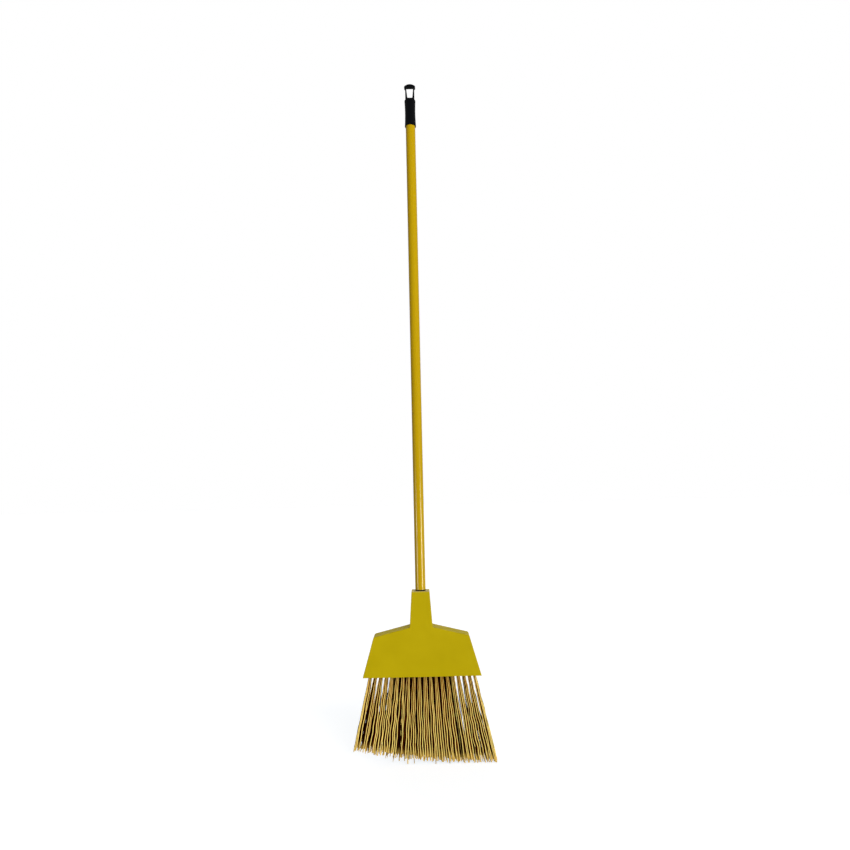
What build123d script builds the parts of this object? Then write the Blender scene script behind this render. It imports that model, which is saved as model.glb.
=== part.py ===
"""Angle broom: a moulded head with tufts of straw-like fibre, on a screw-in tube handle with a hanger cap.

Millimetres. The handle stands along +Z on the Z axis, the flat front of the head faces -Y, the long
side of the bristles is at +X, and the lowest bristle tips are at Z = 0.
"""

import os
from math import cos, pi, radians, sin, sqrt, tan

from build123d import *

# Whole broom
overall_length = 1397.0
bristle_reach = 161.7

# Head shell, heights counted up from the skirt's lower edge
skirt_width = 232.0
skirt_depth = 45.5
shoulder_width = 188.4
shoulder_rise = 76.0
neck_root_width = 45.0
neck_root_rise = 93.5
collar_width = 35.6
collar_rise = 162.3
face_draft = 1.5
shell_wall = 3.0
shoulder_round = 5.0
neck_root_round = 1.5
edge_round = 1.0

# Handle tube, its plastic jacket and the slip fit between the handle's pieces
tube_diameter = 19.6
tube_wall = 0.6
jacket_wall = 0.35
slip_fit = 0.1

# Screw thread between the handle and the head, a coarse right-hand trapezoid
thread_pitch = 5.08
thread_diameter = 18.6
thread_height = 2.2
thread_crest = 1.5
thread_flank = 14.5
thread_turns = 5
thread_clearance = 0.4

# Threaded tip and the socket that it screws into
flange_show = 2.2
mouth_depth = 9.0
mouth_gap = 1.2
seat_gap = 0.3
nose_length = 3.0
nose_chamfer = 1.5
tip_plug_length = 38.0
tip_bore = 8.0
tip_floor = 4.0
socket_runout = 4.0

# Tuft block, drawn back into the skirt
block_recess = 12.0
block_height = 24.0
block_clearance = 0.3

# Block screws and the bosses that they bite into
screw_spacing = 140.0
screw_diameter = 4.0
screw_bite = 14.0
screw_point = 1.2
screw_head_diameter = 8.0
screw_head_height = 2.6
screw_head_sink = 6.0
screw_slot_length = 5.0
screw_slot_width = 1.1
screw_slot_depth = 1.2
screw_clearance = 0.4
pilot_spare = 3.0
boss_wall = 3.0

# Rows of tuft holes in the block
column_count = 20
middle_count = 11
column_margin = 9.8
row_margin = 8.3
hole_diameter = 8.0
hole_depth = 16.0
hole_lead = 2.0
column_splay = 12.2
row_splay = 3.0

# Tufts: a folded bunch in each hole, its strands, and the slanted line that their tips are cut to
tuft_fit = 0.15
ring_strands = 8
strand_width = 1.5
strand_bury = 3.0
strand_inset = 0.2
strand_gap = 1.2
tip_rise = 27.0
tip_ragged = 7.0
foot_flat = 0.5
golden_step = 0.618034

# Staple across the fold of each tuft
staple_thickness = 0.6
staple_height = 2.2

# Hanger cap: a sleeve over the tube's end, with a loop on top
sleeve_length = 59.7
sleeve_lap = 7.5
sleeve_top_diameter = 24.0
sleeve_waist_diameter = 22.2
sleeve_waist_rise = 36.0
sleeve_rim_diameter = 24.0
sleeve_rim_height = 1.5
sleeve_shoulder_round = 2.5
cap_floor = 5.0
loop_height = 36.0
loop_width = 19.7
loop_depth = 7.0
loop_root = 3.0
loop_edge_round = 1.6
bar_width = 23.9
bar_crown = 5.0
bar_end_height = 4.5
bar_end_round = 1.8
bar_flare_round = 2.0
bar_thickness = 8.4
eye_floor = 4.6
eye_bottom_width = 10.8
eye_top_width = 15.2
eye_round = 1.5
eye_edge_round = 0.6

# Heights that several pieces share
skirt_edge = bristle_reach
shoulder_level = skirt_edge + shoulder_rise
neck_root = skirt_edge + neck_root_rise
collar_top = skirt_edge + collar_rise
block_bottom = skirt_edge + block_recess
block_top = block_bottom + block_height
screw_seat = block_bottom + screw_head_sink
screw_end = block_top + screw_bite
mouth_floor = collar_top - mouth_depth
flange_bottom = mouth_floor + seat_gap
tube_bottom = collar_top + flange_show
sleeve_top = overall_length - loop_height
sleeve_rim = sleeve_top - sleeve_length
tube_top = sleeve_top - cap_floor
jacket_top = sleeve_rim + sleeve_lap

# Radii of the handle's pieces
tube_radius = tube_diameter / 2
jacket_bore = tube_radius + slip_fit
handle_radius = jacket_bore + jacket_wall
plug_radius = tube_radius - tube_wall - slip_fit
mouth_radius = handle_radius + mouth_gap

# Screw thread: the male ridge runs from the tip's nose up to just under its flange
core_radius = thread_diameter / 2 - thread_height
thread_root = thread_crest + 2 * thread_height * tan(radians(thread_flank))
ridge_end = mouth_floor - thread_root
ridge_start = ridge_end - thread_turns * thread_pitch
tip_end = ridge_start - nose_length
socket_floor = ridge_start - thread_pitch - socket_runout


def half_width(height):
    """Half the head's width at a height on its flared skirt."""
    flare = (skirt_width - shoulder_width) / 2 / shoulder_rise
    return skirt_width / 2 - flare * (height - skirt_edge)


def half_depth(height):
    """Half the head's depth at a height: front and back lean in by the draft."""
    return skirt_depth / 2 - tan(radians(face_draft)) * (height - skirt_edge)


def head_form(inset, floor, ceiling):
    """The head's outer form, drawn in by an inset on all sides, between two heights."""
    below = floor - skirt_depth
    right_side = [
        (half_width(below), below),
        (shoulder_width / 2, shoulder_level),
        (neck_root_width / 2, neck_root),
        (collar_width / 2, collar_top),
    ]
    left_side = [(-x, z) for x, z in reversed(right_side)]
    corner_rounds = [0, shoulder_round, neck_root_round, 0]
    corner_rounds += reversed(corner_rounds)
    side_view = [
        (half_depth(below), below),
        (half_depth(collar_top), collar_top),
        (-half_depth(collar_top), collar_top),
        (-half_depth(below), below),
    ]
    with BuildPart() as form:
        with BuildSketch(Plane.XZ):
            with BuildLine():
                FilletPolyline(*right_side, *left_side, radius=corner_rounds, close=True)
            make_face()
            if inset:
                offset(amount=-inset)
            with Locations((0, (floor + ceiling) / 2)):
                Rectangle(skirt_width * 2, ceiling - floor, mode=Mode.INTERSECT)
        extrude(amount=skirt_depth, both=True)
        with BuildSketch(Plane.YZ):
            with BuildLine():
                Polyline(*side_view, close=True)
            make_face()
            if inset:
                offset(amount=-inset)
        extrude(amount=skirt_width, both=True, mode=Mode.INTERSECT)
    return form.part


def thread_ridge(spread, start, turns):
    """A helical ridge about the handle's axis, fattened by a spread on its crest and flanks."""
    foot = core_radius - thread_clearance
    crest = thread_diameter / 2 + spread
    foot_half = thread_root / 2 + thread_clearance * tan(radians(thread_flank)) + spread
    crest_half = thread_crest / 2 + spread
    with BuildPart() as ridge:
        with BuildLine() as path:
            Helix(pitch=thread_pitch, height=turns * thread_pitch, radius=core_radius, center=(0, 0, start))
        with BuildSketch(Plane.XZ):
            with BuildLine():
                Polyline(
                    (foot, start - foot_half),
                    (crest, start - crest_half),
                    (crest, start + crest_half),
                    (foot, start + foot_half),
                    close=True,
                )
            make_face()
        sweep(path=path.line, is_frenet=True)
    return ridge.part


def tuft_places():
    """Name, hole mouth and direction of every tuft, row by row."""
    row_half = half_depth(block_bottom) - shell_wall - row_margin
    span_half = half_width(block_bottom) - shell_wall - column_margin
    pitch = 2 * span_half / (column_count - 1)
    rows = [("front", -1, column_count), ("middle", 0, middle_count), ("back", 1, column_count)]
    places = []
    for row, side, count in rows:
        for index in range(count):
            x = (index - (count - 1) / 2) * pitch
            lean = tan(radians(column_splay * x / span_half))
            tilt = side * tan(radians(row_splay))
            mouth = Vector(x, side * row_half, block_bottom)
            places.append((f"tuft_{row}_{index + 1:02d}", mouth, Vector(lean, tilt, -1)))
    return places


def tuft_plane(mouth, direction, depth):
    """A plane across a tuft's hole, at a depth above its mouth, that faces down the tuft."""
    along = direction.normalized()
    return Plane(origin=mouth - along * depth, x_dir=(1, 0, direction.X), z_dir=along)


# Tips: how far the outer tufts fan out at the floor, and the ring of strands that each tuft opens to.
# The front and back tufts open further towards each other, up to the middle row where there is one.
tufts = tuft_places()
end_mouth, end_direction = tufts[column_count - 1][1:]
middle_end = tufts[column_count + middle_count - 1][1].X
tip_reach = end_mouth.X + end_direction.X * block_bottom
tip_depth = abs(end_mouth.Y + end_direction.Y * block_bottom)
tip_pitch = 2 * tip_reach / (column_count - 1)
strand_corner = strand_width / sqrt(2)
root_ring = hole_diameter / 2 - tuft_fit - strand_inset - strand_corner
tip_ring = tip_pitch / 2 - strand_gap / 2 - strand_corner
open_fan = tip_depth - strand_gap / 2 - strand_corner
shared_fan = tip_depth - tip_ring - strand_gap - 2 * strand_corner


def strand(mouth, direction, turn, ring_share, number):
    """One straight strand of a tuft, from inside its folded bunch to the slanted line of the tips."""
    root_plane = tuft_plane(mouth, direction, 0)
    ring_x = ring_share * cos(turn)
    ring_y = ring_share * sin(turn)
    root = root_plane.from_local_coords(Vector(root_ring * ring_x, root_ring * ring_y, 0))
    inward = ring_y * mouth.Y > 0
    inward_fan = shared_fan if abs(mouth.X) < middle_end + tip_pitch else open_fan
    fan = inward_fan if inward else tip_ring
    foot = mouth + direction * block_bottom + Vector(tip_ring * ring_x, -fan * ring_y, 0)
    slant = (foot - root) / root.Z
    short_side = (tip_reach - foot.X) / (2 * tip_reach)
    ragged = tip_ragged * (number * golden_step % 1)
    drop = root.Z - tip_rise * short_side**2 - ragged + foot_flat
    start = root - slant * strand_bury
    length = slant.length * (drop + strand_bury)
    with BuildSketch(Plane(origin=start, x_dir=(1, 0, slant.X), z_dir=slant), mode=Mode.PRIVATE) as section:
        Rectangle(strand_width, strand_width)
    return extrude(section.sketch, amount=length, mode=Mode.PRIVATE)


# Bosses under the shoulders for the block's screws
screw_spots = [(-screw_spacing / 2, 0), (screw_spacing / 2, 0)]
with BuildPart() as bosses:
    with BuildSketch(Plane.XY.offset(block_top)):
        with Locations(*screw_spots):
            Circle(screw_diameter / 2 + slip_fit + boss_wall)
    extrude(amount=neck_root - block_top)
    add(head_form(shell_wall / 2, block_top, neck_root), mode=Mode.INTERSECT)

# Head shell: hollow skirt, bosses for the block's screws, and the threaded socket in the neck
with BuildPart() as head_shell:
    add(head_form(0, skirt_edge, collar_top))
    above_skirt = head_shell.edges().group_by(Axis.Z)[1:]
    fillet([edge for level in above_skirt for edge in level], edge_round)
    add(head_form(shell_wall, skirt_edge - shell_wall, socket_floor - shell_wall), mode=Mode.SUBTRACT)
    add(bosses.part)
    with BuildSketch(Plane.XY.offset(block_top)):
        with Locations(*screw_spots):
            Circle(screw_diameter / 2 + slip_fit)
    extrude(amount=screw_bite + pilot_spare, mode=Mode.SUBTRACT)
    add(thread_ridge(thread_clearance, ridge_start - thread_pitch, thread_turns + 2), mode=Mode.SUBTRACT)
    with BuildSketch(Plane.XY.offset(collar_top)):
        Circle(core_radius + thread_clearance)
    extrude(amount=socket_floor - collar_top, mode=Mode.SUBTRACT)
    with BuildSketch(Plane.XY.offset(collar_top)):
        Circle(mouth_radius)
    extrude(amount=-mouth_depth, mode=Mode.SUBTRACT)
head_shell.part.label = "head_shell"

# Tuft block: fills the skirt, with a slanted hole for each tuft and sunk holes for the screws
with BuildPart() as tuft_block:
    add(head_form(shell_wall + block_clearance, block_bottom, block_top))
    for name, mouth, direction in tufts:
        with BuildSketch(tuft_plane(mouth, direction, hole_depth)):
            Circle(hole_diameter / 2)
    extrude(amount=hole_depth + hole_lead, mode=Mode.SUBTRACT)
    with BuildSketch(Plane.XY.offset(block_bottom)):
        with Locations(*screw_spots):
            Circle(screw_head_diameter / 2 + screw_clearance)
    extrude(amount=screw_head_sink, mode=Mode.SUBTRACT)
    with BuildSketch(Plane.XY.offset(screw_seat)):
        with Locations(*screw_spots):
            Circle(screw_diameter / 2 + screw_clearance)
    extrude(amount=block_top - screw_seat, mode=Mode.SUBTRACT)
tuft_block.part.label = "tuft_block"

# Block screws: driven from below, heads up against the sunk seats, with a cross slot in each head
with BuildPart() as block_screws:
    with BuildSketch(Plane.XY.offset(screw_seat)):
        with Locations(*screw_spots):
            Circle(screw_head_diameter / 2)
    extrude(amount=-screw_head_height)
    with BuildSketch(Plane.XY.offset(screw_seat)):
        with Locations(*screw_spots):
            Circle(screw_diameter / 2)
    extrude(amount=screw_end - screw_seat)
    chamfer(block_screws.edges().group_by(Axis.Z)[-1], screw_point)
    with BuildSketch(Plane.XY.offset(screw_seat - screw_head_height)):
        with Locations(*screw_spots):
            Rectangle(screw_slot_length, screw_slot_width)
            Rectangle(screw_slot_width, screw_slot_length)
    extrude(amount=screw_slot_depth, mode=Mode.SUBTRACT)
block_screws.part.label = "block_screws"

# Staples: a flat wire across the floor of each hole
with BuildPart() as tuft_staples:
    for name, mouth, direction in tufts:
        with BuildSketch(tuft_plane(mouth, direction, hole_depth)):
            Rectangle(hole_diameter - 2 * tuft_fit, staple_thickness)
    extrude(amount=staple_height)
tuft_staples.part.label = "tuft_staples"

# Tufts: the folded bunch, slotted for its staple, with its strands fanned out below
tuft_parts = []
for order, (name, mouth, direction) in enumerate(tufts):
    first = order * (ring_strands + 1)
    with BuildPart() as tuft:
        with BuildSketch(tuft_plane(mouth, direction, hole_depth)):
            Circle(hole_diameter / 2 - tuft_fit)
        extrude(amount=hole_depth)
        with BuildSketch(tuft_plane(mouth, direction, hole_depth)):
            Rectangle(hole_diameter, staple_thickness + 2 * slip_fit)
        extrude(amount=staple_height + slip_fit, mode=Mode.SUBTRACT)
        strands = [strand(mouth, direction, 0, 0, first)]
        for place in range(ring_strands):
            turn = 2 * pi * (place + order * golden_step) / ring_strands
            strands.append(strand(mouth, direction, turn, 1, first + place + 1))
        add(strands)
        split(bisect_by=Plane.XY, keep=Keep.TOP)
    tuft.part.label = name
    tuft_parts.append(tuft.part)

# Handle tube: thin steel, square-cut at both ends
with BuildPart() as handle_tube:
    with BuildSketch(Plane.XY.offset(tube_bottom)):
        Circle(tube_radius)
        Circle(tube_radius - tube_wall, mode=Mode.SUBTRACT)
    extrude(amount=tube_top - tube_bottom)
handle_tube.part.label = "handle_tube"

# Handle jacket: the coloured plastic skin, from the tip's flange up under the cap's rim
with BuildPart() as handle_jacket:
    with BuildSketch(Plane.XY.offset(tube_bottom)):
        Circle(handle_radius)
        Circle(jacket_bore, mode=Mode.SUBTRACT)
    extrude(amount=jacket_top - tube_bottom)
handle_jacket.part.label = "handle_jacket"

# Threaded tip: a plug in the tube's end, a flange that the tube stands on, and the screw below it
with BuildPart() as threaded_tip:
    with BuildSketch(Plane.XY.offset(flange_bottom)):
        Circle(core_radius)
    extrude(amount=tip_end - flange_bottom)
    chamfer(threaded_tip.edges().group_by(Axis.Z)[0], nose_chamfer)
    add(thread_ridge(0, ridge_start, thread_turns))
    with BuildSketch(Plane.XY.offset(flange_bottom)):
        Circle(handle_radius)
    extrude(amount=tube_bottom - flange_bottom)
    with BuildSketch(Plane.XY.offset(tube_bottom)):
        Circle(plug_radius)
    extrude(amount=tip_plug_length)
    with BuildSketch(Plane.XY.offset(tube_bottom + tip_plug_length)):
        Circle(tip_bore / 2)
    extrude(amount=tip_end + tip_floor - tube_bottom - tip_plug_length, mode=Mode.SUBTRACT)
threaded_tip.part.label = "threaded_tip"

# Loop of the hanger cap: two legs and a crowned bar around a tapering eye, all edges eased
bar_end_top = overall_length - bar_crown
bar_end_bottom = bar_end_top - bar_end_height
leg_top = bar_end_bottom - (bar_width - loop_width) / 2
loop_bottom = sleeve_top - loop_root
eye_bottom = sleeve_top + eye_floor
eye_top = overall_length - bar_thickness
with BuildPart() as hanger_loop:
    with BuildSketch(Plane.XZ) as outline:
        with BuildLine():
            Polyline(
                (-bar_width / 2, bar_end_top),
                (-bar_width / 2, bar_end_bottom),
                (-loop_width / 2, leg_top),
                (-loop_width / 2, loop_bottom),
                (loop_width / 2, loop_bottom),
                (loop_width / 2, leg_top),
                (bar_width / 2, bar_end_bottom),
                (bar_width / 2, bar_end_top),
            )
            ThreePointArc((bar_width / 2, bar_end_top), (0, overall_length), (-bar_width / 2, bar_end_top))
        make_face()
        corner_levels = outline.vertices().group_by(Axis.Y)
        fillet(corner_levels[-2] + corner_levels[-1], bar_end_round)
        fillet(outline.vertices().group_by(Axis.Y)[1], bar_flare_round)
    extrude(amount=loop_depth / 2, both=True)
    outer_edges = hanger_loop.edges().filter_by(Axis.Y, reverse=True)
    fillet(outer_edges.group_by(Axis.Z)[1:], loop_edge_round)
    with BuildSketch(Plane.XZ) as eye:
        with BuildLine():
            Polyline(
                (-eye_top_width / 2, eye_top),
                (-eye_bottom_width / 2, eye_bottom),
                (eye_bottom_width / 2, eye_bottom),
                (eye_top_width / 2, eye_top),
                close=True,
            )
        make_face()
        fillet(eye.vertices(), eye_round)
    extrude(amount=loop_depth, both=True, mode=Mode.SUBTRACT)
    fillet(hanger_loop.edges(Select.LAST).filter_by(Axis.Y, reverse=True), eye_edge_round)

# Hanger cap: a waisted sleeve turned about the axis, with the loop on its rounded top
rim_top = (sleeve_rim_diameter / 2, sleeve_rim + sleeve_rim_height)
waist = (sleeve_waist_diameter / 2, sleeve_rim + sleeve_waist_rise)
shoulder = (sleeve_top_diameter / 2, sleeve_top)
with BuildPart() as hanger_cap:
    with BuildSketch(Plane.XZ):
        with BuildLine():
            Polyline(
                shoulder,
                (0, sleeve_top),
                (0, tube_top),
                (tube_radius + slip_fit, tube_top),
                (tube_radius + slip_fit, jacket_top),
                (handle_radius + slip_fit, jacket_top),
                (handle_radius + slip_fit, sleeve_rim),
                (sleeve_rim_diameter / 2, sleeve_rim),
                rim_top,
            )
            ThreePointArc(rim_top, waist, shoulder)
        make_face()
    revolve(axis=Axis.Z)
    fillet(hanger_cap.edges().group_by(Axis.Z)[-1], sleeve_shoulder_round)
    add(hanger_loop.part)
hanger_cap.part.label = "hanger_cap"

rigid = [head_shell, tuft_block, block_screws, tuft_staples]
rigid += [handle_tube, handle_jacket, threaded_tip, hanger_cap]
os.makedirs("parts", exist_ok=True)
for piece in [builder.part for builder in rigid] + tuft_parts:
    export_step(piece, f"parts/{piece.label}.step")
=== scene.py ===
"""Looks of the angle broom: its bristles and finishes, the floor, the light and the camera.

Everything is in metres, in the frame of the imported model: Z runs up the handle, the front faces -Y,
and the long side of the slanted bristles is at +X.
"""

import math
import random

import bmesh
import bpy
from mathutils import Matrix, Vector


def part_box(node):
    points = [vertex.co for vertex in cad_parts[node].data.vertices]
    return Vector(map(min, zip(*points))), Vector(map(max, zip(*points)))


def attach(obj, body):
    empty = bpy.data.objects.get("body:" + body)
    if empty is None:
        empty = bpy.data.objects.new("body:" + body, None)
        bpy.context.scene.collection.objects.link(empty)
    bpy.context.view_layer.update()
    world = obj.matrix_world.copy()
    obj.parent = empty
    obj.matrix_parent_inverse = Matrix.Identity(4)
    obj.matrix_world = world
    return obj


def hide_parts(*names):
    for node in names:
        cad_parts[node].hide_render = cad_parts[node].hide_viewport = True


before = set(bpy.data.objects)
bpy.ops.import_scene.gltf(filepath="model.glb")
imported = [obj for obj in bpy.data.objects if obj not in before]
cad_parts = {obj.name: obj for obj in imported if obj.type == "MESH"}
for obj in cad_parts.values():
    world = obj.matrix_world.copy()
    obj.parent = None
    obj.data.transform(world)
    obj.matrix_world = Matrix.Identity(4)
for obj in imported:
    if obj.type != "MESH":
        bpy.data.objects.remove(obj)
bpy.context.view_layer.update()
block_low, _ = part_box("tuft_block")

MM = 0.001

# Collar: the rim that the handle goes in at, at the top of the head.
collar_top = 324.0 * MM
# The top band of the rim is painted pale: a painted reflection of the white surround at a grazing angle.
rim_sheen_height = 1.2 * MM
rim_sheen_share = 0.2

# Packed tufts: points this near the block's face are at a tuft's mouth, and a tuft whose mouth is
# further than this from the middle is in an outer row.
mouth_band = 2.5 * MM
outer_row = 2 * MM

# Where the straws stand in a bunch. Its core straws are painted near-black, painted shade where little
# light reaches, and pale, tan and brown straws stand side by side on its open face, the brown ones
# deeper and at its sides, partly painted shade. Turns are degrees from the way that face looks, and
# rings are shares of the bunch's reach.
core_straws = 24
core_ring = 1.08
core_behind = 0.75
core_short = 5 * MM
pale_turns = (-50, 0, 50)
pale_ring = 1.0
brown_turns = (-68, -22, 22, 68)
brown_ring = 0.7
edge_turns = (-80, 80)
edge_ring = 1.0
tan_reach = 80
tan_ring = 0.92
side_turns = range(-75, 76, 15)
face_jitter = 5
golden_angle = math.pi * (3 - math.sqrt(5))
straw_seed = 4

# Tones of the straws: 0 is the dark end of the colours and 1 the pale end, and above 1 the pale ridge
# is broader. Flanks are painted darker than the ridge, painted shade for a round straw's sides, and a
# straw is painted paler down its length, painted light against the dimmer light low in the bristles,
# with its own tone at a share of the way down.
core_shade_tones = (0.0, 0.04)
brown_and_shade_tones = (0.0, 0.16)
tan_tones = (0.2, 0.5)
pale_tones = (1.28, 1.6)
inner_shade_tones = (0.15, 0.4)
painted_flank_shade = 0.98
painted_tip_light = 0.65
own_tone_share = 0.4
straw_colours = (
    (0.0, "#040100"),
    (0.35, "#521A00"),
    (0.6, "#A65608"),
    (0.8, "#E2A230"),
    (1.0, "#FFEA86"),
)

# Shape of a straw: four-sided, a little flat, thinner at its root, with a ridge that looks outwards.
pale_width = 2.3 * MM
tan_width = 1.7 * MM
core_width = 1.6 * MM
straw_width_spread = 0.15
straw_sides = 4
straw_cuts = 12
straw_root_taper = 0.6
straw_swell = 1.2
straw_flatness = 0.75
ridge_spread = 0.4
ridge_jitter = math.radians(15)

# Shape of a bunch: narrow in its hole, flared towards ragged tips, with a few long and stray straws.
straw_bury = 6 * MM
root_ring = 1.7 * MM
tip_ring_across = 7.0 * MM
end_ring_across = 3.4 * MM
tip_ring_deep = 5.4 * MM
tuft_flare = 0.78
tip_ragged = 8 * MM
long_share = 0.1
long_reach = 9 * MM
stray_share = 0.12
stray_drift = 6 * MM
tip_drift = 0.8 * MM

# Waves of the straws: slow sways and short crimps, of a whole bunch and of each straw.
tuft_sway = 0.9 * MM
straw_sway = 0.4 * MM
sway_waves = (1.0, 2.4)
tuft_crimp = 1.2 * MM
straw_crimp = 0.5 * MM
crimp_waves = (6, 10)
swing_depth = 0.5
swing_shares = (0.4, 1.0)
swing_onset = 2

# Camera: where the photograph was taken from, found from the handle, the head and the bristle tips.
photo_size = 850
focal_pixels = 680
sensor_width = 36
camera_place = Vector((0.0154, -1.3886, 0.5148))
camera_pitch = math.radians(5.83)
camera_yaw = math.radians(-0.05)
camera_roll = math.radians(-1.31)

# Light: even daylight all round, broad low lamps in front and behind, and two low softboxes for the
# handle's streaks. A lamp's way is its turn about the handle from the front, towards +X.
ambient_level = 0.3
front_level = 0.94
front_height = math.radians(15)
front_way = math.radians(30)
front_softness = math.radians(40)
back_level = 0.72
back_height = math.radians(9)
back_way = math.radians(190)
back_softness = math.radians(60)
right_box_way = math.radians(52)
right_box_level = 300.0
left_box_way = math.radians(-58)
left_box_level = 165.0
box_width = 0.35
box_height = 0.5
box_distance = 2
box_rise = 0.25
box_target = (0, 0, 0.35)

# Floor: large enough to reach past every view, and lifted to white where it is seen.
floor_size = 60
floor_lift = 0.81


def linear(code):
    """Turn an sRGB colour such as #B7A20F into the linear colour a shader takes."""
    channels = [int(code[place : place + 2], 16) / 255 for place in (1, 3, 5)]
    spread = [c / 12.92 if c <= 0.04045 else ((c + 0.055) / 1.055) ** 2.4 for c in channels]
    return (*spread, 1.0)


def add_node(tree, kind, values=None, links=None, **options):
    """Add a node to a tree: its options, the values on its sockets and the sockets that feed it."""
    node = tree.nodes.new(kind)
    for option, setting in options.items():
        setattr(node, option, setting)
    for socket, value in (values or {}).items():
        node.inputs[socket].default_value = value
    for socket, source in (links or {}).items():
        tree.links.new(source, node.inputs[socket])
    return node


def start_material(name):
    """Give an empty material, its node tree and the Object coordinates its pattern lies on."""
    material = bpy.data.materials.new(name)
    material.use_nodes = True
    tree = material.node_tree
    tree.nodes.clear()
    place = add_node(tree, "ShaderNodeTexCoord").outputs["Object"]
    return material, tree, place


def finish_material(tree, shader):
    """Wire a shader to the material's output."""
    add_node(tree, "ShaderNodeOutputMaterial", links={"Surface": shader})


def moulded_polypropylene():
    """Head: injection-moulded polypropylene, pigmented through, from a spark-eroded mould.

    It gives an even mustard yellow with a soft satin sheen, a fine pebble and faint flow clouds, and
    the top band of the rim around the handle is painted pale, a painted reflection of the white
    surround.
    The real pebble is about 0.3 mm, drawn at 1.6 mm so that it shows.
    """
    cloud_size = 45 * MM
    pebble_size = 1.6 * MM
    pebble_depth = 0.1 * MM
    material, tree, place = start_material("polypropylene_mustard_moulded")
    clouds = add_node(
        tree,
        "ShaderNodeTexNoise",
        {"Scale": 1 / cloud_size, "Detail": 2.0},
        {"Vector": place},
    )
    tint = add_node(
        tree,
        "ShaderNodeMix",
        {"A": linear("#AB9803"), "B": linear("#B9A508")},
        {"Factor": clouds.outputs["Fac"]},
        data_type="RGBA",
    )
    height = add_node(tree, "ShaderNodeSeparateXYZ", links={"Vector": place})
    # Painted reflection: the top band of the rim fades to a pale colour, where the white surround would
    # mirror.
    rim = add_node(
        tree,
        "ShaderNodeMapRange",
        {"From Min": collar_top - rim_sheen_height, "From Max": collar_top, "To Max": rim_sheen_share},
        {"Value": height.outputs["Z"]},
    )
    rim_sheen_tint = add_node(
        tree,
        "ShaderNodeMix",
        {"B": linear("#EFE8D2")},
        {"Factor": rim.outputs["Result"], "A": tint.outputs["Result"]},
        data_type="RGBA",
    )
    pebble = add_node(
        tree,
        "ShaderNodeTexNoise",
        {"Scale": 1 / pebble_size, "Detail": 1.0},
        {"Vector": place},
    )
    bump = add_node(
        tree,
        "ShaderNodeBump",
        {"Strength": 0.12, "Distance": pebble_depth},
        {"Height": pebble.outputs["Fac"]},
    )
    rub = add_node(
        tree,
        "ShaderNodeMapRange",
        {"To Min": 0.44, "To Max": 0.56},
        {"Value": clouds.outputs["Fac"]},
    )
    shader = add_node(
        tree,
        "ShaderNodeBsdfPrincipled",
        {"IOR": 1.49, "Specular IOR Level": 0.018},
        {
            "Base Color": rim_sheen_tint.outputs["Result"],
            "Roughness": rub.outputs["Result"],
            "Normal": bump.outputs["Normal"],
        },
    )
    finish_material(tree, shader.outputs["BSDF"])
    return material


def extruded_vinyl():
    """Handle skin: vinyl extruded over the tube, so it is glossy with faint draw lines along it.

    The draw lines are a few tenths of a millimetre apart, drawn at 1.2 mm so that they show.
    """
    line_width = 1.2 * MM
    line_length = 300 * MM
    line_depth = 0.05 * MM
    material, tree, place = start_material("vinyl_mustard_extruded")
    along = add_node(
        tree,
        "ShaderNodeMapping",
        {"Scale": (1 / line_width, 1 / line_width, 1 / line_length)},
        {"Vector": place},
    )
    lines = add_node(
        tree,
        "ShaderNodeTexNoise",
        {"Scale": 1.0, "Detail": 2.0},
        {"Vector": along.outputs["Vector"]},
    )
    tint = add_node(
        tree,
        "ShaderNodeMix",
        {"A": linear("#B39104"), "B": linear("#C0A008")},
        {"Factor": lines.outputs["Fac"]},
        data_type="RGBA",
    )
    bump = add_node(
        tree,
        "ShaderNodeBump",
        {"Strength": 0.05, "Distance": line_depth},
        {"Height": lines.outputs["Fac"]},
    )
    shader = add_node(
        tree,
        "ShaderNodeBsdfPrincipled",
        {"IOR": 1.53, "Specular IOR Level": 0.035, "Roughness": 0.2},
        {"Base Color": tint.outputs["Result"], "Normal": bump.outputs["Normal"]},
    )
    finish_material(tree, shader.outputs["BSDF"])
    return material


def black_polypropylene():
    """Hanger cap and threaded tip: black moulded polypropylene, a dull satin with a fine pebble.

    The real pebble is about 0.3 mm, drawn at 1 mm so that it shows.
    """
    pebble_size = 1.0 * MM
    pebble_depth = 0.08 * MM
    material, tree, place = start_material("polypropylene_black_moulded")
    pebble = add_node(
        tree,
        "ShaderNodeTexNoise",
        {"Scale": 1 / pebble_size, "Detail": 1.0},
        {"Vector": place},
    )
    tint = add_node(
        tree,
        "ShaderNodeMix",
        {"A": linear("#020305"), "B": linear("#06070A")},
        {"Factor": pebble.outputs["Fac"]},
        data_type="RGBA",
    )
    bump = add_node(
        tree,
        "ShaderNodeBump",
        {"Strength": 0.1, "Distance": pebble_depth},
        {"Height": pebble.outputs["Fac"]},
    )
    shader = add_node(
        tree,
        "ShaderNodeBsdfPrincipled",
        {"IOR": 1.49, "Specular IOR Level": 0.03, "Roughness": 0.55},
        {"Base Color": tint.outputs["Result"], "Normal": bump.outputs["Normal"]},
    )
    finish_material(tree, shader.outputs["BSDF"])
    return material


def recycled_block_plastic():
    """Tuft block: recycled polypropylene, dark brown and cloudy, with a dull moulded face."""
    cloud_size = 12 * MM
    material, tree, place = start_material("polypropylene_recycled_dark")
    clouds = add_node(
        tree,
        "ShaderNodeTexNoise",
        {"Scale": 1 / cloud_size, "Detail": 4.0},
        {"Vector": place},
    )
    tint = add_node(
        tree,
        "ShaderNodeMix",
        {"A": linear("#1B130C"), "B": linear("#33261A")},
        {"Factor": clouds.outputs["Fac"]},
        data_type="RGBA",
    )
    shader = add_node(
        tree,
        "ShaderNodeBsdfPrincipled",
        {"IOR": 1.49, "Specular IOR Level": 0.2, "Roughness": 0.65},
        {"Base Color": tint.outputs["Result"]},
    )
    finish_material(tree, shader.outputs["BSDF"])
    return material


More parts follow.
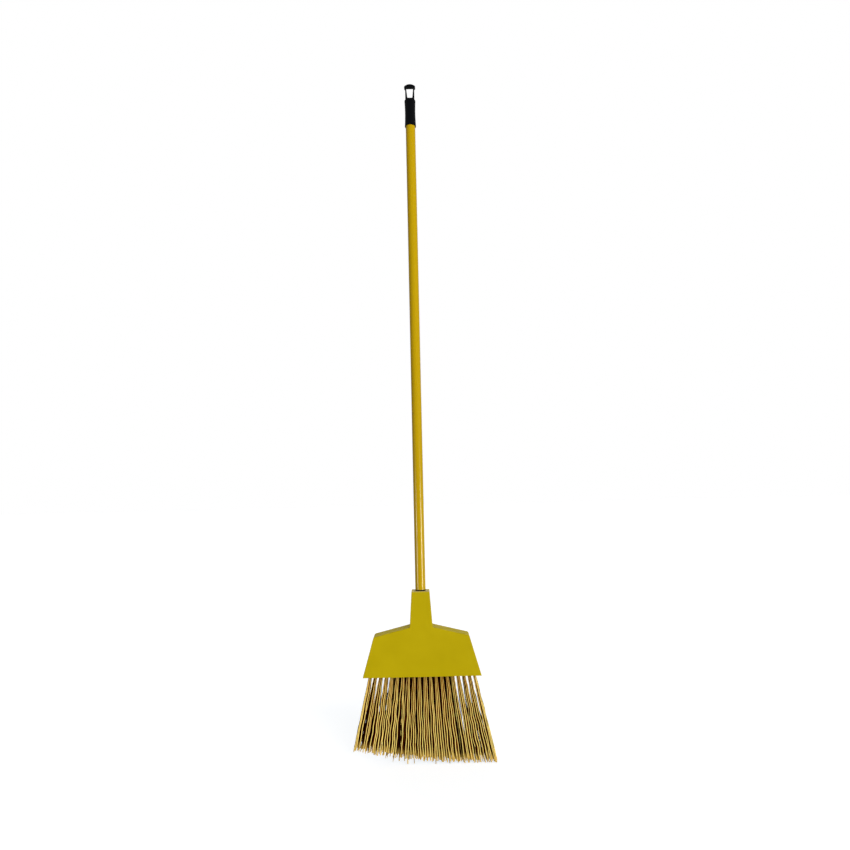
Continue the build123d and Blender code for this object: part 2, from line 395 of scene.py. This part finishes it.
def zinc_plated_steel():
    """Screws and staples: zinc-plated steel wire, a bluish grey with a slightly mottled shine."""
    mottle_size = 2 * MM
    material, tree, place = start_material("steel_zinc_plated")
    mottle = add_node(
        tree,
        "ShaderNodeTexNoise",
        {"Scale": 1 / mottle_size, "Detail": 3.0},
        {"Vector": place},
    )
    rub = add_node(
        tree,
        "ShaderNodeMapRange",
        {"To Min": 0.25, "To Max": 0.45},
        {"Value": mottle.outputs["Fac"]},
    )
    shader = add_node(
        tree,
        "ShaderNodeBsdfPrincipled",
        {"Base Color": linear("#AEB3B8"), "Metallic": 1.0},
        {"Roughness": rub.outputs["Result"]},
    )
    finish_material(tree, shader.outputs["BSDF"])
    return material


def drawn_steel():
    """Handle tube: rolled steel tube, grey with fine drawing marks along it.

    The marks are about a tenth of a millimetre apart, drawn at 0.6 mm so that they show.
    """
    mark_width = 0.6 * MM
    mark_length = 80 * MM
    material, tree, place = start_material("steel_tube_drawn")
    along = add_node(
        tree,
        "ShaderNodeMapping",
        {"Scale": (1 / mark_width, 1 / mark_width, 1 / mark_length)},
        {"Vector": place},
    )
    marks = add_node(
        tree,
        "ShaderNodeTexNoise",
        {"Scale": 1.0, "Detail": 2.0},
        {"Vector": along.outputs["Vector"]},
    )
    rub = add_node(
        tree,
        "ShaderNodeMapRange",
        {"To Min": 0.3, "To Max": 0.5},
        {"Value": marks.outputs["Fac"]},
    )
    shader = add_node(
        tree,
        "ShaderNodeBsdfPrincipled",
        {"Base Color": linear("#8F9296"), "Metallic": 1.0},
        {"Roughness": rub.outputs["Result"]},
    )
    finish_material(tree, shader.outputs["BSDF"])
    return material


def broom_straw():
    """Bristles: dry broom straw, cut and crimped, matt, from pale gold to dark brown.

    It gives thin bright and dark lines: each straw has a tone of its own, pale along its ridge and
    painted brown on its flanks as painted shade, with streaks along it, and its cut tip is painted a
    fresher gold, partly its own colour and partly painted light against the shade near the floor.
    The streaks are a few tenths of a millimetre wide, drawn at 1.5 mm so that they show.
    """
    streak_width = 1.5 * MM
    streak_length = 14 * MM
    streak_depth = 0.2 * MM
    streak_tone = 0.14
    cut_start = 0.92
    cut_gold_and_light_share = 0.75
    material, tree, place = start_material("broom_straw_crimped")
    tone = add_node(tree, "ShaderNodeAttribute", attribute_name="tone")
    along = add_node(tree, "ShaderNodeAttribute", attribute_name="along")
    streak_place = add_node(
        tree,
        "ShaderNodeMapping",
        {"Scale": (1 / streak_width, 1 / streak_width, 1 / streak_length)},
        {"Vector": place},
    )
    streaks = add_node(
        tree,
        "ShaderNodeTexNoise",
        {"Scale": 1.0, "Detail": 3.0},
        {"Vector": streak_place.outputs["Vector"]},
    )
    blotch = add_node(
        tree,
        "ShaderNodeMapRange",
        {"From Min": 0.3, "From Max": 0.7, "To Min": -streak_tone, "To Max": streak_tone},
        {"Value": streaks.outputs["Fac"]},
    )
    shade = add_node(
        tree,
        "ShaderNodeMath",
        links={0: tone.outputs["Fac"], 1: blotch.outputs["Result"]},
        operation="ADD",
        use_clamp=True,
    )
    body = None
    for (low, dark_code), (high, pale_code) in zip(straw_colours, straw_colours[1:]):
        share = add_node(
            tree,
            "ShaderNodeMapRange",
            {"From Min": low, "From Max": high},
            {"Value": shade.outputs["Value"]},
        )
        blend = add_node(
            tree,
            "ShaderNodeMix",
            {"A": linear(dark_code), "B": linear(pale_code)},
            {"Factor": share.outputs["Result"]},
            data_type="RGBA",
        )
        if body:
            tree.links.new(body, blend.inputs["A"])
        body = blend.outputs["Result"]
    # The cut tips are painted a fresher gold, partly the straws' own colour and partly painted light
    # against the shade near the floor.
    cut_tip_gold_and_light = add_node(
        tree,
        "ShaderNodeMapRange",
        {"From Min": cut_start, "From Max": 1.0, "To Min": 0.0, "To Max": cut_gold_and_light_share},
        {"Value": along.outputs["Fac"]},
    )
    tint = add_node(
        tree,
        "ShaderNodeMix",
        {"B": linear("#E2BC5E")},
        {"Factor": cut_tip_gold_and_light.outputs["Result"], "A": body},
        data_type="RGBA",
    )
    bump = add_node(
        tree,
        "ShaderNodeBump",
        {"Strength": 0.3, "Distance": streak_depth},
        {"Height": streaks.outputs["Fac"]},
    )
    shader = add_node(
        tree,
        "ShaderNodeBsdfPrincipled",
        {"IOR": 1.5, "Specular IOR Level": 0.0, "Roughness": 0.6},
        {"Base Color": tint.outputs["Result"], "Normal": bump.outputs["Normal"]},
    )
    finish_material(tree, shader.outputs["BSDF"])
    return material


def dress_node(name, material):
    """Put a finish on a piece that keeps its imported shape."""
    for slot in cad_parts[name].material_slots:
        slot.material = material


def model_straw():
    """Model one straight straw of unit size, hanging from the origin, cut into rings so it can bend."""
    bpy.ops.object.select_all(action="DESELECT")
    bpy.ops.mesh.primitive_cylinder_add(
        vertices=straw_sides,
        radius=0.5,
        depth=1.0,
        location=(0, 0, -0.5),
    )
    straw = bpy.context.object
    bpy.ops.object.transform_apply(location=True)
    bpy.ops.object.mode_set(mode="EDIT")
    bpy.ops.mesh.select_mode(type="EDGE")
    bpy.ops.mesh.select_all(action="DESELECT")
    bpy.ops.object.mode_set(mode="OBJECT")
    for edge in straw.data.edges:
        ends = [straw.data.vertices[number].co.z for number in edge.vertices]
        edge.select = abs(ends[0] - ends[1]) > 0.5
        edge.use_edge_sharp = edge.select
    for face in straw.data.polygons:
        face.use_smooth = abs(face.normal.z) < 0.5
    bpy.ops.object.mode_set(mode="EDIT")
    bpy.ops.mesh.subdivide(number_cuts=straw_cuts)
    bpy.ops.object.mode_set(mode="OBJECT")
    return straw


def tuft_form(node):
    """Find a packed tuft's mouth, the middle of its tips, its lowest tip and its inward reach."""
    points = [vertex.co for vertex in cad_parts[node].data.vertices]
    mouth_points = [point for point in points if abs(point.z - block_low.z) < mouth_band]
    tip_points = [point for point in points if point.z < block_low.z / 2]
    mouth = sum(mouth_points, Vector()) / len(mouth_points)
    tips = sum(tip_points, Vector()) / len(tip_points)
    lowest = min(point.z for point in points)
    inward_reach = tip_ring_deep
    if abs(mouth.y) > outer_row:
        depths = sorted(abs(point.y) for point in tip_points)
        tips.y = math.copysign(depths[-1] - tip_ring_deep, mouth.y)
        inward_reach = abs(tips.y) - depths[0]
    return mouth, tips, lowest, inward_reach


def row_ends():
    """Name the first and last tuft of each row."""
    ends = []
    for row in ("front", "middle", "back"):
        names = sorted(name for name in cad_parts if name.startswith("tuft_" + row))
        ends += [names[0], names[-1]]
    return ends


def straw_spots(mouth, at_end, chance):
    """List a tuft's straws: the way each stands, how far out, its width, its tone and its shortening."""
    spots = []

    def stand(turn, out, width, tones, short=0.0):
        jitter = chance.uniform(-face_jitter, face_jitter)
        spots.append((math.radians(turn + jitter), out, width, chance.uniform(*tones), short))

    # Painted shade: the core straws get near-black tones, where little light reaches.
    for number in range(core_straws):
        turn = number * golden_angle
        out = core_ring * math.sqrt((number + 0.5) / core_straws)
        if math.sin(turn) * mouth.y > 0:
            out = out * core_behind
        stand(math.degrees(turn), out, core_width, core_shade_tones, core_short)
    # Outer-row faces take the pale tones, and middle-row faces, in shade between the outer rows, take
    # painted shade tones.
    if abs(mouth.y) > outer_row:
        faces = [math.copysign(90, mouth.y)]
        face_tones = pale_tones
    else:
        faces = [-90, 90]
        face_tones = inner_shade_tones
    for face in faces:
        # Straws at the sides of the face and deeper in the bunch are brown, partly painted shade.
        for turn in edge_turns:
            stand(face + turn, edge_ring, tan_width, brown_and_shade_tones)
        for turn in brown_turns:
            stand(face + turn, brown_ring, tan_width, brown_and_shade_tones)
        stand(face + chance.uniform(-tan_reach, tan_reach), tan_ring, tan_width, tan_tones)
        for turn in pale_turns:
            stand(face + turn, pale_ring, pale_width, face_tones)
    # At a row's end the tan side straws take the painted shade tones too.
    if at_end:
        outward = 0 if mouth.x > 0 else 180
        for number, turn in enumerate(side_turns):
            if number % 2:
                stand(outward + turn, pale_ring, pale_width, pale_tones)
            else:
                stand(outward + turn, tan_ring, tan_width, inner_shade_tones)
    return spots


def swing_line(height, waves, chance):
    """Give a function from share of length to a sideways swing of a height and some half waves."""
    turn = chance.uniform(0, 2 * math.pi)
    way = Vector((math.cos(turn), math.sin(turn) * swing_depth, 0))
    swing = way * height * chance.uniform(*swing_shares)
    start = chance.uniform(0, 2 * math.pi)
    bends = chance.uniform(*waves)

    def swing_at(share):
        return swing * math.sin(math.pi * bends * share + start) * min(1, share * swing_onset)

    return swing_at


def straw_line(form, at_end, tuft_swings, turn, out, short, chance):
    """Give a function from share of length to a point: one wavy straw of a tuft."""
    mouth, tips, lowest, inward_reach = form
    spoke = Vector((math.cos(turn), math.sin(turn), 0)) * out
    drift_reach = stray_drift if chance.random() < stray_share else tip_drift
    inward_drift = -math.copysign(chance.uniform(0, drift_reach), mouth.y)
    drift = Vector((chance.uniform(-drift_reach, drift_reach), inward_drift, 0))
    slope = (tips - mouth) / (mouth.z - tips.z)
    tip_height = lowest + short + tip_ragged * chance.random() ** 2
    if not short and chance.random() < long_share:
        tip_height = max(0, lowest - long_reach * chance.random())
    start = mouth - slope * straw_bury
    end = mouth + slope * (mouth.z - tip_height)
    root_spoke = spoke * root_ring
    tip_depth = inward_reach if spoke.y * mouth.y < 0 else tip_ring_deep
    tip_across = end_ring_across if at_end and spoke.x * mouth.x > 0 else tip_ring_across
    tip_spoke = Vector((spoke.x * tip_across, spoke.y * tip_depth, 0))
    swings = [
        *tuft_swings,
        swing_line(straw_sway, sway_waves, chance),
        swing_line(straw_crimp, crimp_waves, chance),
    ]

    def point_at(share):
        flare = root_spoke.lerp(tip_spoke, share**tuft_flare)
        waves = sum((swing_at(share) for swing_at in swings), Vector())
        return start.lerp(end, share) + flare + drift * share + waves

    return point_at


def make_tuft(node, at_end, straw, material, chance):
    """Make a tuft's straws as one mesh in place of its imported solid."""
    form = tuft_form(node)
    tuft_swings = [
        swing_line(tuft_sway, sway_waves, chance),
        swing_line(tuft_crimp, crimp_waves, chance),
    ]
    bundle = bmesh.new()
    tone = bundle.verts.layers.float.new("tone")
    along = bundle.verts.layers.float.new("along")
    for turn, out, width, own_tone, short in straw_spots(form[0], at_end, chance):
        point_at = straw_line(form, at_end, tuft_swings, turn, out, short, chance)
        width = width * (1 + chance.uniform(-straw_width_spread, straw_width_spread))
        ridge = math.atan2(math.sin(turn), math.cos(turn) * ridge_spread)
        twist = Matrix.Rotation(ridge + chance.uniform(-ridge_jitter, ridge_jitter), 2)
        first = len(bundle.verts)
        bundle.from_mesh(straw.data)
        bundle.verts.ensure_lookup_table()
        for vert in bundle.verts[first:]:
            share = -vert.co.z
            swell = min(1, straw_root_taper + share * straw_swell)
            # Painted shade: a straw's tone drops from its ridge to its flanks, standing in for the shade
            # on a round straw's sides.
            flank = 1 - max(0, vert.co.x * 2)
            flank_shaded_tone = own_tone * (1 - painted_flank_shade * flank)
            side = twist @ Vector((vert.co.x * straw_flatness, vert.co.y))
            side = side * width * swell
            vert.co = point_at(share) + Vector((side.x, side.y, 0))
            # Painted light: the tone rises down the straw's length, darker at the root and paler towards
            # the tip, against the dimmer light low in the bristles.
            vert[tone] = flank_shaded_tone * (1 + painted_tip_light * (share - own_tone_share))
            vert[along] = share
    mesh = bpy.data.meshes.new(node.replace("tuft", "bristles"))
    bundle.to_mesh(mesh)
    bundle.free()
    mesh.materials.append(material)
    piece = bpy.data.objects.new(mesh.name, mesh)
    bpy.context.scene.collection.objects.link(piece)
    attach(piece, "head")
    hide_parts(node)


def make_bristles():
    """Make every tuft's straws from the same straight straw."""
    straw = model_straw()
    material = broom_straw()
    chance = random.Random(straw_seed)
    ends = row_ends()
    for node in sorted(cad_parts):
        if node.startswith("tuft_") and node not in ("tuft_block", "tuft_staples"):
            make_tuft(node, node in ends, straw, material, chance)
    bpy.data.objects.remove(straw)


def dress_nodes():
    """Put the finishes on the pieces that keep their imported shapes."""
    black = black_polypropylene()
    zinc = zinc_plated_steel()
    dress_node("head_shell", moulded_polypropylene())
    dress_node("handle_jacket", extruded_vinyl())
    dress_node("hanger_cap", black)
    dress_node("threaded_tip", black)
    dress_node("tuft_block", recycled_block_plastic())
    dress_node("block_screws", zinc)
    dress_node("tuft_staples", zinc)
    dress_node("handle_tube", drawn_steel())


def seen_directly(tree):
    """Give a socket that is 1 for rays that show the background, straight, mirrored or through glass."""
    path = add_node(tree, "ShaderNodeLightPath")
    mirrored = add_node(
        tree,
        "ShaderNodeMath",
        links={0: path.outputs["Is Camera Ray"], 1: path.outputs["Is Glossy Ray"]},
        operation="MAXIMUM",
    )
    through = add_node(
        tree,
        "ShaderNodeMath",
        links={0: mirrored.outputs["Value"], 1: path.outputs["Is Transmission Ray"]},
        operation="MAXIMUM",
    )
    return through.outputs["Value"]


def make_surround():
    """Light the object evenly from all round, and show white behind it."""
    world = bpy.data.worlds.new("white_studio")
    bpy.context.scene.world = world
    world.use_nodes = True
    tree = world.node_tree
    tree.nodes.clear()
    level = add_node(
        tree,
        "ShaderNodeMapRange",
        {"To Min": ambient_level, "To Max": 1.0},
        {"Value": seen_directly(tree)},
    )
    background = add_node(
        tree,
        "ShaderNodeBackground",
        {"Color": linear("#FFFFFF")},
        {"Strength": level.outputs["Result"]},
    )
    add_node(tree, "ShaderNodeOutputWorld", links={"Surface": background.outputs["Background"]})


def make_floor():
    """Lay a pale painted floor that shows white, apart from the object's own soft, cool shadow."""
    grain_size = 60 * MM
    bpy.ops.object.select_all(action="DESELECT")
    bpy.ops.mesh.primitive_plane_add(size=floor_size)
    floor = bpy.context.object
    floor.name = "floor"
    material, tree, place = start_material("floor_paint_white")
    grain = add_node(
        tree,
        "ShaderNodeTexNoise",
        {"Scale": 1 / grain_size, "Detail": 2.0},
        {"Vector": place},
    )
    tint = add_node(
        tree,
        "ShaderNodeMix",
        {"A": linear("#BCB1A4"), "B": linear("#C0B5A8")},
        {"Factor": grain.outputs["Fac"]},
        data_type="RGBA",
    )
    paint = add_node(tree, "ShaderNodeBsdfDiffuse", links={"Color": tint.outputs["Result"]})
    lift = add_node(
        tree,
        "ShaderNodeMapRange",
        {"To Min": 0.0, "To Max": floor_lift},
        {"Value": seen_directly(tree)},
    )
    glow = add_node(
        tree,
        "ShaderNodeEmission",
        {"Color": linear("#F1F8FF")},
        {"Strength": lift.outputs["Result"]},
    )
    both = add_node(
        tree,
        "ShaderNodeAddShader",
        links={0: paint.outputs["BSDF"], 1: glow.outputs["Emission"]},
    )
    finish_material(tree, both.outputs["Shader"])
    floor.data.materials.append(material)


def aim(lamp, place, target):
    """Put a lamp at a place, pointing at a target."""
    lamp.location = place
    lamp.rotation_euler = (Vector(target) - Vector(place)).to_track_quat("-Z", "Y").to_euler()


def add_sun(name, level, height, way, softness):
    """Add a broad far lamp that lights the object but isn't mirrored in it."""
    sun = bpy.data.lights.new(name, "SUN")
    sun.energy = level * math.pi
    sun.angle = softness
    lamp = bpy.data.objects.new(name, sun)
    lamp.visible_glossy = False
    bpy.context.scene.collection.objects.link(lamp)
    reach = math.cos(height)
    aim(lamp, (reach * math.sin(way), -reach * math.cos(way), math.sin(height)), (0, 0, 0))


def add_softbox(name, way, level):
    """Add a low softbox that is mirrored in the object but doesn't light it otherwise."""
    box = bpy.data.lights.new(name, "AREA")
    box.shape = "RECTANGLE"
    box.size = box_width
    box.size_y = box_height
    box.energy = level * math.pi * box.size * box.size_y
    lamp = bpy.data.objects.new(name, box)
    lamp.visible_diffuse = False
    bpy.context.scene.collection.objects.link(lamp)
    aim(lamp, (box_distance * math.sin(way), -box_distance * math.cos(way), box_rise), box_target)


def make_lamps():
    """Set the broad lamps in front and behind and the two low softboxes."""
    add_sun("front_lamp", front_level, front_height, front_way, front_softness)
    add_sun("back_lamp", back_level, back_height, back_way, back_softness)
    add_softbox("softbox_right", right_box_way, right_box_level)
    add_softbox("softbox_left", left_box_way, left_box_level)


def set_camera():
    """Stand the camera where the photograph was taken from."""
    data = bpy.data.cameras.new("photo_camera")
    data.sensor_width = sensor_width
    data.lens = sensor_width * focal_pixels / photo_size
    camera = bpy.data.objects.new("photo_camera", data)
    bpy.context.scene.collection.objects.link(camera)
    yaw = Matrix.Rotation(camera_yaw, 4, "Z")
    pitch = Matrix.Rotation(math.pi / 2 + camera_pitch, 4, "X")
    roll = Matrix.Rotation(camera_roll, 4, "Z")
    camera.matrix_world = Matrix.Translation(camera_place) @ (yaw @ pitch) @ roll
    bpy.context.scene.camera = camera


make_bristles()
dress_nodes()
make_surround()
make_floor()
make_lamps()
set_camera()
bpy.context.scene.view_settings.view_transform = "Standard"
